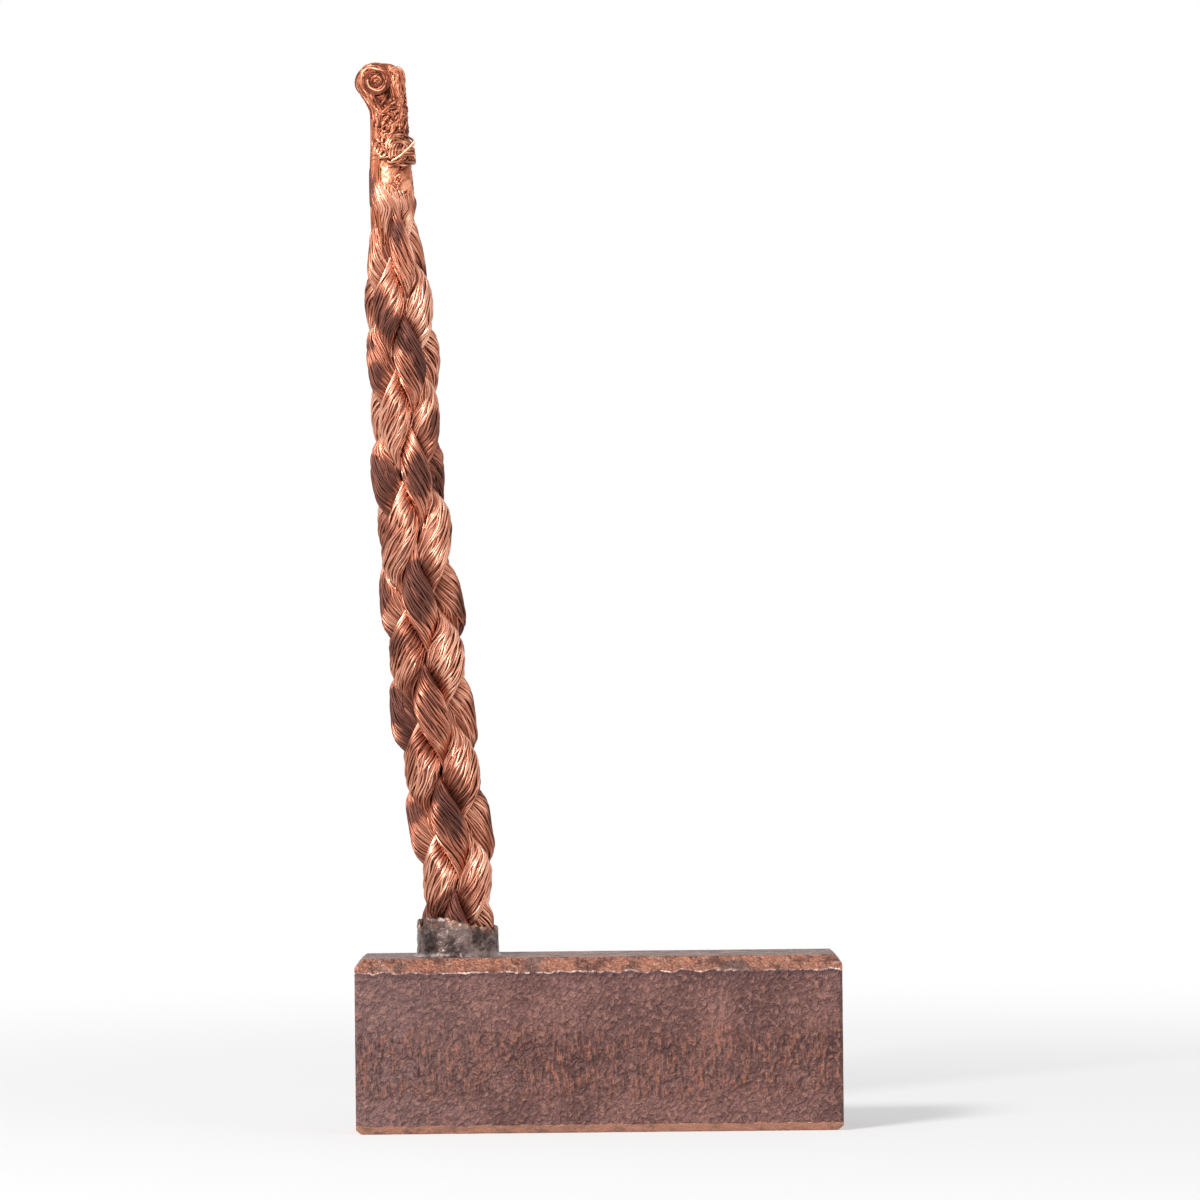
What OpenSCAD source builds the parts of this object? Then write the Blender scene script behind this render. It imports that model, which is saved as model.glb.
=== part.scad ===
// Carbon brush with a plaited copper pigtail.
//
// The block is one pressing of copper and graphite powder. A low boss is pressed
// with it, and the pigtail's root is moulded into a round socket under that boss.
// The pigtail is a round plait of eight bunches of fine copper wire, four wound
// each way and passing one over, one under. Its free end is fused solid and bound
// with a few turns of wire.
//
// The origin is the middle of the block's underside. X runs along the block to the
// contact face, Y across its width, and Z up along the pigtail.

/* [Block] */
// Length of the block, from its back end to its contact face
block_l = 25; // [18:0.5:32]
// Width of the block across the holder
block_w = 6.4; // [5.6:0.1:10]
// Height of the block
block_h = 9; // [7.5:0.25:14]
// Bevel along the two long upper edges
long_bevel_top = 0.65; // [0.2:0.05:0.75]
// Bevel along the two long lower edges
long_bevel_base = 0.42; // [0.2:0.02:0.8]
// Bevel on the two upper end edges
end_bevel_top = 0.42; // [0.1:0.02:1]
// Bevel on the two lower end edges
end_bevel_base = 0.25; // [0.1:0.05:1]
// Bevel on the four upright corners
corner_bevel = 0.14; // [0.05:0.01:0.5]

/* [Boss and socket] */
// Distance from the block's back end to the middle of the boss
boss_setback = 5.25; // [4:0.05:9]
// Height of the boss over the block
boss_h = 1.9; // [1:0.1:3]
// Wall of powder left round the socket in the boss
boss_wall = 0.15; // [0.15:0.05:0.6]
// Bevel round the boss's rim
boss_bevel = 0.1; // [0.05:0.01:0.14]
// How much lower the rim stands on the side of the contact face
boss_fall = 0.4; // [0:0.05:0.8]
// Depth of the socket below the block's top
socket_depth = 5.5; // [3:0.25:6.5]
// Gap left between the pigtail's root and the socket's wall and floor
root_gap = 0.05; // [0.02:0.01:0.15]

/* [Pigtail] */
// Height of the pigtail from the boss's rim to its tip
free_l = 44.25; // [36:0.25:60]
// Diameter of the plait in its socket
root_d = 3.85; // [3:0.05:4]
// Diameter of the plait at its thickest
body_d = 4.45; // [4:0.05:5]
// Diameter of the plait above its middle
upper_d = 3.75; // [3.2:0.05:4.4]
// Diameter of the plait where it meets its fused end
neck_d = 2.4; // [2:0.05:2.6]
// Height over which the plait swells from its root
swell_l = 4; // [2:0.5:12]
// Height over which the plait narrows to its fused end
taper_l = 4.8; // [4:0.2:10]
// Height over which the plait stays upright above the rim
upright_l = 2.5; // [0:0.1:4]
// How far the tip leans towards the block's back end
lean = 3.25; // [0:0.05:6]
// How far the pigtail wavers to each side of its lean
waver = 0.18; // [0:0.02:0.5]

/* [Plait] */
// Height in which a strand goes once round the plait
lay = 23.3; // [18:0.1:28]
// Half the angle that one strand covers, seen along the plait
half_cover = 35.5; // [30:0.5:36]
// Share of the room between two crossing strands that their thickness fills
packing = 0.86; // [0.7:0.01:0.88]
// How far the loosest crossing stands proud of a tight one
slack = 0.18; // [0:0.02:0.3]
// Angle that the plait as a whole has turned where it is loose
loose_turn = 20; // [0:5:60]
// Height above the rim of a crossing on the front of the plait
crown_rise = 4.8; // [0:0.1:10]
// Height above the rim at which the plait starts to draw in
waist_start = 13; // [12:0.5:22]
// Height above the rim at which the plait has drawn in
waist_end = 23.5; // [23:0.5:28]
// Height above the rim at which the loose stretch starts
loose_start = 18; // [8:0.5:18]
// Height above the rim at which the loose stretch ends
loose_end = 20.5; // [20:0.5:28]

/* [Fused end] */
// Height of the fused end
tip_l = 7.55; // [6:0.1:9]
// Width of the fused end
tip_w = 2.1; // [1.9:0.05:2.4]
// Thickness of the fused end
tip_t = 1.85; // [1.5:0.05:2.1]
// How far its curled wires stand out towards the block's back end
curl_reach = 0.66; // [0.3:0.02:0.8]
// Depth of the fold between the curled wires and the rest, as a share of the thickness
fold_depth = 0.32; // [0:0.02:0.4]

/* [Binding] */
// Diameter of the binding wire
wire_d = 0.2; // [0.14:0.02:0.3]
// Turns of the binding wire
wire_turns = 4; // [2:1:4]
// Gap between the binding wire and the fused end
wire_gap = 0.02; // [0.02:0.01:0.08]
// Height of the lowest turn above the foot of the fused end
wire_rise = 2.4; // [1.5:0.1:3]
// Length of the loose end of the binding wire
wire_tail = 1; // [0.4:0.1:1.5]

/* [Hidden] */
HANDS = 2;                 // strands wind both ways
EACH_WAY = 4;              // strands that wind each way
STRANDS = HANDS * EACH_WAY;

// Colours
powder_colour = [0.47, 0.34, 0.32];
copper_colour = [0.80, 0.50, 0.37];
dull_copper_colour = [0.62, 0.36, 0.27];
fused_colour = [0.76, 0.44, 0.27];
binding_colour = [0.86, 0.60, 0.44];

// Heights and places
boss_x = -block_l / 2 + boss_setback;
rim_z = block_h + boss_h;
tip_z = rim_z + free_l;
join_z = tip_z - tip_l;
socket_d = root_d + 2 * root_gap;
boss_d = socket_d + 2 * boss_wall;
socket_z = block_h - socket_depth;
root_z = socket_z + root_gap;
over = 1;                  // how far a cutting shape runs past what it cuts

// Places along the plait
crown_z = rim_z + crown_rise;
waist_from = rim_z + waist_start;
waist_to = rim_z + waist_end;
loose_from = rim_z + loose_start;
loose_to = rim_z + loose_end;
crown_turn = 45;           // angle between a crossing and the strands' own crowns
tight_foot = 1;            // height over which every crossing is tight at the rim
tight_end = 2;             // and below the fused end
slack_l = 4;               // height over which slack comes in above the rim

// Proportions of the plait's section, as shares of its radius
mid_share = 0.53;          // radius of the surface on which the strands cross
wave_share = 0.247;        // how far a strand swings out and in from that surface
rings_each_crossing = 10;  // sections between two crossings of one strand
outer_stops = [-1, -0.72, -0.26, 0.26, 0.72, 1];
inner_stops = [0.6, 0, -0.6];
section_fullness = 3;      // 2 gives a lens, more gives a fuller bunch

// Sections of the fused end
tip_sides = 30;
tip_rings = 16;
tip_crowding = 1.7;        // how closely the sections crowd towards the top
dome_l = 0.95;             // height over which the top rounds off
dome_flat = 0.5;           // width left flat at the top, as a share
foot_l = 4.5;              // height over which its foot narrows
curl_rise = 5;             // height above its foot where the curled wires start
curl_l = 1.1;              // height over which they come to stand out in full
curl_from = join_z + curl_rise;
curl_to = curl_from + curl_l;
fold_w = 0.2;              // width of the fold

// Sections of the binding wire
wire_sides = 6;
turn_steps = 16;
wire_pitch = 1.12 * wire_d;
tail_rise = 32;            // angle at which the loose end climbs
tail_out = 14;             // angle at which it stands off the fused end

// Rises smoothly from 0 at a to 1 at b.
function rise(a, b, x) = let(t = min(1, max(0, (x - a) / (b - a)))) t * t * (3 - 2 * t);

// The value a share t of the way from a to b.
function between(a, b, t) = a + (b - a) * t;

// Middle of the pigtail at height z: upright in the boss, then leaning in a shallow bow.
function middle_x(z) =
    let(u = max(0, (z - rim_z - upright_l) / (free_l - upright_l)))
    boss_x - lean * sin(90 * u) - waver * sin(360 * u);

// Radius of the plait at height z.
function plait_r(z) =
    let(
        swollen = between(root_d, body_d, rise(rim_z, rim_z + swell_l, z)),
        drawn = between(swollen, upper_d, rise(waist_from, waist_to, z)),
        d = between(drawn, neck_d, rise(join_z - taper_l, join_z, z))
    )
    d / 2;

// How far a strand has wound round the plait at height z, and how far the whole has turned.
function wind(z) =
    crown_turn + 360 * (z - crown_z) / lay - loose_turn / 2 * rise(loose_from, loose_to, z);
function turn(z) = crown_turn + loose_turn * rise(loose_from, loose_to, z);

// Angle of strand i's middle at height z. hand is 1 or -1.
function strand_angle(i, hand, z) = i * 360 / EACH_WAY + hand * wind(z) + turn(z);

// Where a woven strand lies in the thickness of the plait: 1 on top, -1 underneath. The
// product of the two waves is the checker of a one-over-one weave, and the two outer
// sines flatten its tops, so that each crossing is a full pillow and wide strands clear
// each other.
function weave(angle, hand, z) =
    let(a = angle - turn(z))
    hand * sin(90 * sin(90 * cos(2 * (a - wind(z))) * cos(2 * (a + wind(z)))));

// How loose the crossing of strand i at height z is, from 0 to 1. It fades out at both ends.
function looseness(i, hand, z) =
    pow(max(0, sin(134 * i + 79 * hand - 9 + 360 * (z - rim_z) / (0.87 * lay))), 2)
    * rise(rim_z + tight_foot, rim_z + tight_foot + slack_l, z)
    * (1 - rise(join_z - taper_l, join_z - tight_end, z));

// A point of strand i at height z: s runs across the strand from -1 to 1, and side is 1 on
// its outer face and -1 on its inner face.
function strand_point(i, hand, z, s, side) =
    let(
        angle = strand_angle(i, hand, z) + half_cover * s,
        w = weave(angle, hand, z),
        thick = 2 * wave_share * packing * (1 - pow(abs(s), section_fullness)),
        r = plait_r(z) * (mid_share + wave_share * w + side * thick / 2)
            + slack * looseness(i, hand, z) * pow(max(0, w), 2)
    )
    [middle_x(z) + r * cos(angle), r * sin(angle), z];

// One section of a strand: over its outer face, then back over its inner face.
function strand_section(i, hand, z) =
    concat(
        [for (s = outer_stops) strand_point(i, hand, z, s, 1)],
        [for (s = inner_stops) strand_point(i, hand, z, s, -1)]
    );

// A closed skin over a stack of sections that all have n points. Sections are listed from
// the bottom up, and their points run counter-clockwise seen from the top. Each square of
// the skin is cut along its diagonal, and hand says along which one.
function skin_faces(rings, n, hand) =
    concat(
        [[for (k = [0:n - 1]) k]],
        [for (r = [0:rings - 2], k = [0:n - 1])
            let(a = r * n + k, b = r * n + (k + 1) % n)
            each hand < 0 ? [[a, a + n, b], [b, a + n, b + n]] : [[a, a + n, b + n], [a, b + n, b]]],
        [[for (k = [n - 1:-1:0]) (rings - 1) * n + k]]
    );

module skin(sections, hand = 1) {
    polyhedron(
        points = [for (s = sections) each s],
        faces = skin_faces(len(sections), len(sections[0]), hand),
        convexity = 10
    );
}

// The outline of a block's side or end, bevelled at its top and its foot.
module bevelled_outline(length, height, top, foot) {
    polygon([
        [-length / 2 + foot, 0], [length / 2 - foot, 0], [length / 2, foot],
        [length / 2, height - top], [length / 2 - top, height],
        [-length / 2 + top, height], [-length / 2, height - top], [-length / 2, foot]
    ]);
}

// The pressed block: what its end outline, its side outline and its plan share.
module pressed_block() {
    intersection() {
        rotate([90, 0, 90])
            linear_extrude(block_l, center = true)
                bevelled_outline(block_w, block_h, long_bevel_top, long_bevel_base);
        rotate([90, 0, 0])
            linear_extrude(block_w + over, center = true)
                bevelled_outline(block_l, block_h, end_bevel_top, end_bevel_base);
        linear_extrude(block_h)
            translate([0, -block_w / 2])
                bevelled_outline(block_l, block_w, corner_bevel, corner_bevel);
    }
}

// The boss round the pigtail's root. Its rim falls towards the contact face.
module boss() {
    tilt = atan(boss_fall / boss_d);
    difference() {
        translate([0, 0, -over])
            rotate_extrude($fn = 72)
                polygon([
                    [0, 0], [boss_d / 2, 0], [boss_d / 2, over + boss_h - boss_bevel],
                    [boss_d / 2 - boss_bevel, over + boss_h], [0, over + boss_h]
                ]);
        translate([-boss_d / 2, -boss_d, boss_h])
            rotate([0, tilt, 0])
                cube([2 * boss_d, 2 * boss_d, boss_d]);
    }
}

module brush_block() {
    color(powder_colour)
        difference() {
            union() {
                pressed_block();
                translate([boss_x, 0, block_h]) boss();
            }
            translate([boss_x, 0, socket_z])
                cylinder(d = socket_d, h = socket_depth + boss_h + over, $fn = 72);
        }
}

// Strand k of the plait, counted from 1. The first four wind one way, the others the other.
module strand(k) {
    i = (k - 1) % EACH_WAY;
    hand = k <= EACH_WAY ? 1 : -1;
    rings = ceil((join_z - root_z) / (lay / EACH_WAY / rings_each_crossing));
    color(hand > 0 ? copper_colour : dull_copper_colour)
        skin([for (r = [0:rings])
            strand_section(i, hand, between(root_z, join_z, r / rings))], hand);
}

// Height of section r of the fused end: the sections crowd towards its rounded top.
function tip_height(r) = join_z + tip_l * (1 - pow(1 - r / tip_rings, tip_crowding));

// How much of its width the fused end keeps at height z, as its top rounds off.
function dome(z) =
    let(t = max(0, (z - (tip_z - dome_l)) / dome_l))
    between(dome_flat, 1, sqrt(max(0, 1 - t * t)));

// Widening of the fused end at its foot, where it takes in the strands' ends.
function foot_flare(z) = 1 + (neck_d / tip_w - 1) * (1 - rise(join_z, join_z + foot_l, z));

// A point on the fused end's skin at height z and angle a, pushed out by gap.
function tip_point(z, a, gap = 0) =
    let(
        curl = cos(a) < 0 ? curl_reach * rise(curl_from, curl_to, z) : 0,
        reach = (tip_w / 2 * foot_flare(z) + curl) * dome(z) + gap,
        x = reach * cos(a),
        fold = fold_depth * rise(curl_from, curl_to, z) * exp(-pow(x / fold_w, 2)),
        deep = between(tip_t, neck_d, 1 - rise(join_z, join_z + foot_l, z)) / 2
    )
    [middle_x(z) + x, (deep * dome(z) * (1 - fold) + gap) * sin(a), z];

module fused_tip() {
    color(fused_colour)
        skin([for (r = [0:tip_rings])
            [for (k = [0:tip_sides - 1]) tip_point(tip_height(r), 360 * k / tip_sides)]]);
}

// The binding wire's middle line: turns that follow the fused end's skin, then the loose end,
// which leaves the front of the last turn in a straight line.
function wire_line() =
    let(
        steps = wire_turns * turn_steps,
        stand_off = wire_gap + wire_d / 2,
        turns = [for (k = [0:steps])
            tip_point(join_z + wire_rise + wire_pitch * k / turn_steps,
                      360 * k / turn_steps - 90, stand_off)],
        tail = [cos(tail_rise) * cos(tail_out), -cos(tail_rise) * sin(tail_out), sin(tail_rise)]
    )
    concat(turns, [turns[steps] + wire_tail * tail]);

function unit(v) = v / norm(v);

// A round section of the binding wire at point k of its line.
function wire_section(line, k) =
    let(
        ahead = line[min(k + 1, len(line) - 1)],
        behind = line[max(k - 1, 0)],
        along = unit(ahead - behind),
        across = unit(cross(along, [0, 0, 1])),
        up = cross(across, along)
    )
    [for (j = [0:wire_sides - 1])
        let(a = 360 * j / wire_sides)
        line[k] + wire_d / 2 * (across * cos(a) - up * sin(a))];

module binding_wire() {
    line = wire_line();
    color(binding_colour)
        skin([for (k = [0:len(line) - 1]) wire_section(line, k)]);
}

brush_block();
for (k = [1:STRANDS]) strand(k);
fused_tip();
binding_wire();
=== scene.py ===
# %% [markdown]
# # A carbon brush and its plaited copper pigtail
# A carbon brush carries current from a fixed holder to a turning ring. Its block is pressed
# from copper and graphite powder, and its pigtail is a round plait of bright fine wire.
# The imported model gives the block, the eight strands, the fused end and its binding, and
# this script gives each of them its surface. The frame comes first, because everything
# else is placed by it.

import bpy
import numpy as np
from mathutils import Matrix, Vector


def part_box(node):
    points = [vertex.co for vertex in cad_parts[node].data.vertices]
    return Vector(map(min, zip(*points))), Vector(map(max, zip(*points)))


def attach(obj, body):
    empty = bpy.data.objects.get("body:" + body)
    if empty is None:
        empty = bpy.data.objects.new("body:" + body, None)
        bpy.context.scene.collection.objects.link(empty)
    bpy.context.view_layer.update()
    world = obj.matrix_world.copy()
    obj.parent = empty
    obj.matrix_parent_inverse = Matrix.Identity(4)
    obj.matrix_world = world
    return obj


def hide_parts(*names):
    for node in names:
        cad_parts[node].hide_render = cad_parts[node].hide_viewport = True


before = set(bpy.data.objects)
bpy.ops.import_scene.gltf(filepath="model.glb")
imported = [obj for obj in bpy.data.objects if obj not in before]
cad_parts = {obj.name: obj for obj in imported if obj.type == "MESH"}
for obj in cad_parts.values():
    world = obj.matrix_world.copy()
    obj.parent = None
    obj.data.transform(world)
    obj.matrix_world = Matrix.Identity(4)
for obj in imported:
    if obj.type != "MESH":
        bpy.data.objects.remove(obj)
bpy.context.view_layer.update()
MM = 0.001

def box_mm(node):
    """Lowest and highest corner of a CAD node, in millimetres."""
    low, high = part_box(node)
    return np.array(low) / MM, np.array(high) / MM

block_low, block_high = box_mm("brush_block")
tip_low, tip_high = box_mm("fused_tip")
print("block from", block_low.round(2), "to", block_high.round(2))

# %% [markdown]
# ## Sizes
# The plait follows the same formulas as the CAD model, so its values are repeated here in
# millimetres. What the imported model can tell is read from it: the block's length and
# width, and the two ends of the fused piece.

# %% Sizes of the block and the plait
BLOCK_L, BLOCK_W = (block_high - block_low)[:2]
BLOCK_H = 9.0
RIM_Z = 10.9  # top of the boss
BOSS_X = -BLOCK_L / 2 + 5.25
BOSS_R, BOSS_FALL = 2.125, 0.4
TIP_Z, JOIN_Z = tip_high[2], tip_low[2]
ROOT_Z = box_mm("strand_1")[0][2]
FREE_L, UPRIGHT_L, LEAN, WAVER = TIP_Z - RIM_Z, 2.5, 3.25, 0.18
ROOT_D, BODY_D, UPPER_D, NECK_D = 3.85, 4.45, 3.75, 2.4
SWELL_L, TAPER_L = 4.0, 4.8
WAIST = (RIM_Z + 13, RIM_Z + 23.5)  # where the plait draws in to its upper width
LAY, LOOSE_TURN = 23.3, 20  # height of one turn, and degrees lost where it is loose
LOOSE = (RIM_Z + 18, RIM_Z + 20.5)
CROWN_Z, CROWN_TURN = RIM_Z + 4.8, 45  # a crossing that faces the camera
HALF_COVER, SPREAD, PACKING = 35.5, 0.16, 0.86
MID_SHARE, WAVE_SHARE, FULLNESS = 0.53, 0.247, 3
print("pigtail from", round(ROOT_Z, 2), "to", round(TIP_Z, 2))

# %% [markdown]
# ## The camera
# The brush stands on its long side and is seen square on, from far away with a long lens,
# so its edges stay parallel. A small roll turns it by about half a degree.

# %% Camera
CAMERA_AT, CAMERA_ROLL = (0.276, -303.2, 27.3), -0.58
FRAME_W, FRAME_AT = 61.44, 300.0  # width seen at that distance
SENSOR_W = 36
camera_data = bpy.data.cameras.new("camera")
camera_data.sensor_width = SENSOR_W
camera_data.lens = SENSOR_W * FRAME_AT / FRAME_W
camera_data.clip_start, camera_data.clip_end = 0.01, 20
camera = bpy.data.objects.new("camera", camera_data)
level = Matrix.Rotation(np.radians(90), 4, "X")
roll = Matrix.Rotation(np.radians(CAMERA_ROLL), 4, "Z")
camera.matrix_world = Matrix.Translation([c * MM for c in CAMERA_AT]) @ (level @ roll)
bpy.context.scene.collection.objects.link(camera)
bpy.context.scene.camera = camera
bpy.context.scene.view_settings.view_transform = "Standard"
print("lens", round(camera_data.lens, 1), "mm")

# %% [markdown]
# ## Shader maths
# A material is a graph of nodes. Wrapping a socket in a small class lets the graph be
# written as ordinary sums and products, and one method adds any other node.

# %% A small language for shader graphs
def plug(place, value):
    """Links a Socket to an input, or sets the input to a plain value."""
    if isinstance(value, Socket):
        value.tree.links.new(value.output, place)
    else:
        place.default_value = value

class Socket:
    """An output socket that can be added, multiplied and so on."""

    def __init__(self, tree, output):
        self.tree, self.output = tree, output

    def node(self, kind, settings=None, **inputs):
        """Adds a node of the kind, sets its settings, and feeds its inputs by name, or by
        number where the name is i0, i1 and so on."""
        made = self.tree.nodes.new(kind)
        for key, value in (settings or {}).items():
            setattr(made, key, value)
        for key, value in inputs.items():
            place = int(key[1:]) if key[1:].isdigit() else key.replace("_", " ")
            plug(made.inputs[place], value)
        return made

    def of(self, kind, settings=None, output=0, **inputs):
        """Adds a node as node() does, and returns one of its outputs."""
        return Socket(self.tree, self.node(kind, settings, **inputs).outputs[output])

    def math(self, operation, *values):
        """One step of arithmetic on sockets or numbers."""
        inputs = {f"i{k}": value for k, value in enumerate(values)}
        return self.of("ShaderNodeMath", {"operation": operation}, **inputs)

    def __add__(self, other): return self.math("ADD", self, other)
    def __radd__(self, other): return self.math("ADD", other, self)
    def __sub__(self, other): return self.math("SUBTRACT", self, other)
    def __rsub__(self, other): return self.math("SUBTRACT", other, self)
    def __mul__(self, other): return self.math("MULTIPLY", self, other)
    def __rmul__(self, other): return self.math("MULTIPLY", other, self)

    def ramp(self, low, high, to_low=0.0, to_high=1.0):
        """Goes smoothly from to_low where this is low to to_high where it is high."""
        return self.of("ShaderNodeMapRange", {"interpolation_type": "SMOOTHSTEP"}, Value=self,
                       From_Min=low, From_Max=high, To_Min=to_low, To_Max=to_high)

    def mix(self, first, second):
        """Colour that goes from first to second as this goes from 0 to 1."""
        return self.of("ShaderNodeMix", {"data_type": "RGBA"}, output=2,
                       i0=self, i6=first, i7=second)

# %% Materials, noise and numbers kept on a mesh
def new_material(name):
    """A material with an empty graph: returns it, a starting socket with the object's own
    coordinates in metres, and its Principled shader."""
    material = bpy.data.materials.new(name)
    material.use_nodes = True
    tree = material.node_tree
    shader = tree.nodes["Principled BSDF"]
    place = Socket(tree, tree.nodes.new("ShaderNodeTexCoord").outputs["Object"])
    return material, place, shader

def feed(shader, **inputs):
    """Links sockets to the shader's inputs, or sets them."""
    for key, value in inputs.items():
        plug(shader.inputs[key.replace("_", " ")], value)

def noise(place, size_mm, detail=3.0, roughness=0.5, stretch=(1, 1, 1), distortion=0.0):
    """Noise whose cells are about size_mm across, drawn out along an axis by stretch."""
    scaled = place.of("ShaderNodeVectorMath", {"operation": "MULTIPLY"}, i0=place,
                      i1=tuple(1 / (size_mm * MM * s) for s in stretch))
    return place.of("ShaderNodeTexNoise", Vector=scaled, Scale=1.0, Detail=detail,
                    Roughness=roughness, Distortion=distortion)

def attribute(place, name):
    """The number that each point of the mesh keeps under this name."""
    return place.of("ShaderNodeAttribute", {"attribute_name": name}, output=2)

# %% [markdown]
# ## Surfaces from arrays
# A mesh is an array of points and an array of squares that join them. Every piece below
# works out its points for a whole grid at once, and these helpers hand them to Blender.

# %% Mesh helpers
def make_object(name, points, faces, material, **values):
    """One smooth object from points in millimetres, a list of face arrays (each with its
    own number of corners), and a number for each point under each name in values."""
    mesh = bpy.data.meshes.new(name)
    mesh.vertices.add(len(points))
    mesh.vertices.foreach_set("co", (points * MM).astype(np.float32).ravel())
    corners = np.concatenate([f.ravel() for f in faces]).astype(np.int32)
    counts = np.concatenate([np.full(len(f), f.shape[1]) for f in faces])
    mesh.loops.add(len(corners))
    mesh.loops.foreach_set("vertex_index", corners)
    mesh.polygons.add(len(counts))
    mesh.polygons.foreach_set("loop_start", (np.cumsum(counts) - counts).astype(np.int32))
    mesh.update(calc_edges=True)
    mesh.shade_smooth()
    for key, numbers in values.items():
        layer = mesh.attributes.new(key, "FLOAT", "POINT")
        layer.data.foreach_set("value", np.asarray(numbers, np.float32).ravel())
    mesh.materials.append(material)
    made = bpy.data.objects.new(name, mesh)
    bpy.context.scene.collection.objects.link(made)
    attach(made, "root")
    print(name, "points", len(points), "triangles", int((counts - 2).sum()))
    return made

def tube_faces(rows, sides, tubes=1):
    """Squares round tubes whose points are counted ring by ring, and the faces that close
    both ends. The points of each ring run counter-clockwise seen from the far end."""
    t, r, k = np.meshgrid(np.arange(tubes), np.arange(rows - 1), np.arange(sides), indexing="ij")
    a = (t * rows + r) * sides + k
    b = (t * rows + r) * sides + (k + 1) % sides
    squares = np.stack([a, b, b + sides, a + sides], -1).reshape(-1, 4)
    first = (np.arange(tubes) * rows * sides)[:, None]
    feet = first + np.arange(sides)[::-1]
    tops = first + (rows - 1) * sides + np.arange(sides)
    return squares, np.concatenate([feet, tops])

def tube_points(line, radius, out, sides):
    """Rings round one or more lines. line is (tubes, rows, 3), radius broadcasts to
    (tubes, rows), and out is a direction at each point that is never along the line."""
    along = np.gradient(line, axis=1)
    along /= np.linalg.norm(along, axis=-1, keepdims=True)
    across = np.cross(out, along)
    across /= np.linalg.norm(across, axis=-1, keepdims=True)
    up = np.cross(along, across)
    turn = (2 * np.pi * np.arange(sides) / sides)[:, None]
    ring = across[..., None, :] * np.cos(turn) + up[..., None, :] * np.sin(turn)
    radius = np.broadcast_to(radius, line.shape[:2])
    return line[..., None, :] + radius[..., None, None] * ring

# %% Smooth steps and seeded waves
WAVES, WAVE_SUM = 12, 3.5

def rise(a, b, x):
    """Rises smoothly from 0 at a to 1 at b."""
    t = np.clip((x - a) / (b - a), 0, 1)
    return t * t * (3 - 2 * t)

def between(a, b, t):
    """The value a share t of the way from a to b."""
    return a + (b - a) * t

def cos_d(degrees):
    """Cosine of an angle in degrees."""
    return np.cos(np.radians(degrees))

def sin_d(degrees):
    """Sine of an angle in degrees."""
    return np.sin(np.radians(degrees))

def ripple(seed, size, *places):
    """Smooth noise, mostly between -1 and 1: twelve sine waves with seeded directions and
    phases, each about size from crest to crest, are added and then divided by 3.5."""
    random = np.random.default_rng(seed)
    total = 0
    for _ in range(WAVES):
        way = random.normal(size=len(places))
        way *= random.uniform(0.6, 1.6) / np.linalg.norm(way) * 2 * np.pi / size
        phase = random.uniform(0, 2 * np.pi)
        total = total + np.sin(sum(w * p for w, p in zip(way, places)) + phase)
    return total / WAVE_SUM

# %% [markdown]
# ## The plait
# Each strand is a flat bunch of fine wires that winds round the pigtail, over one strand
# and under the next. The product of two cosine waves is a checker, and the two sines
# outside it flatten its tops, so that each crossing is a full pillow.

# %% Where a strand runs
def middle_x(z):
    """Middle of the pigtail at height z: upright in the boss, then leaning in a bow."""
    u = np.maximum(0, (z - RIM_Z - UPRIGHT_L) / (FREE_L - UPRIGHT_L))
    return BOSS_X - LEAN * sin_d(90 * u) - WAVER * sin_d(360 * u)

def plait_r(z):
    """Radius of the plait: it swells from its root, and draws in twice on its way up."""
    d = between(ROOT_D, BODY_D, rise(RIM_Z, RIM_Z + SWELL_L, z))
    d = between(d, UPPER_D, rise(*WAIST, z))
    return between(d, NECK_D, rise(JOIN_Z - TAPER_L, JOIN_Z, z)) / 2

def wind(z):
    """Angle that a strand has gone round the plait at height z."""
    return CROWN_TURN + 360 * (z - CROWN_Z) / LAY - LOOSE_TURN / 2 * rise(*LOOSE, z)

def turn(z):
    """Angle that the plait as a whole has turned at height z."""
    return CROWN_TURN + LOOSE_TURN * rise(*LOOSE, z)

def strand_angle(i, hand, z):
    """Angle of the middle of strand i of a hand at height z."""
    return 90 * i + hand * wind(z) + turn(z)

def checker(angle, z):
    """1 where the strands of one hand are on top, -1 where those of the other are."""
    a = angle - turn(z)
    return cos_d(2 * (a - wind(z))) * cos_d(2 * (a + wind(z)))

# %% Points of a strand
SLACK, SLACK_LAY = 0.18, 0.87 * LAY  # how far a loose crossing stands out, and how often
SLACK_STEP, SLACK_HAND, SLACK_FROM = 134, 79, 9

def slackness(i, hand, z):
    """How loose strand i of a hand is at height z, from 0 to 1: the square of a slow wave
    that starts elsewhere for each strand, and nothing near the boss or the fused end."""
    wave = sin_d(SLACK_STEP * i + SLACK_HAND * hand - SLACK_FROM + 360 * (z - RIM_Z) / SLACK_LAY)
    return (np.maximum(0, wave) ** 2 * rise(RIM_Z + 1, RIM_Z + 5, z)
            * (1 - rise(JOIN_Z - TAPER_L, JOIN_Z - 2, z)))

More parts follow.
